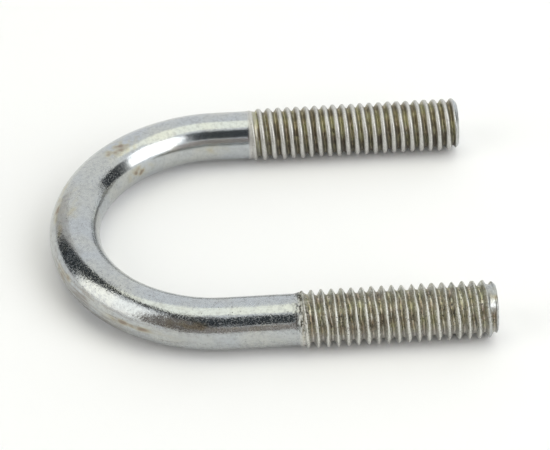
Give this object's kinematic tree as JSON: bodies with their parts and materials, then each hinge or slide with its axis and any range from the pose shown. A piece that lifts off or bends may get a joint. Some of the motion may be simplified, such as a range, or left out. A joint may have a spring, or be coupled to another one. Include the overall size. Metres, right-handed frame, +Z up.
{
  "type": "u-bolt",
  "caption": "Round-bar U-bolt with a half-round bend and a rolled thread on each leg, for clamping a rail or tube to a plate.",
  "frame": {"origin": "under the middle of the bolt's bounding box, on the surface that it lies on", "axes": "+X along the legs towards their tips, +Y from the leg with the shorter thread to the leg with the longer one, +Z up, square to the plane of the U"},
  "size_m": [0.0446, 0.036, 0.0058],
  "materials": {
    "zinc_plate": "bright zinc plating with a clear blue-grey passivate, pitted and lightly stained, olive-brown in the thread grooves"
  },
  "bodies": {
    "root": {"u_bolt": "zinc_plate"}
  },
  "joints": []
}
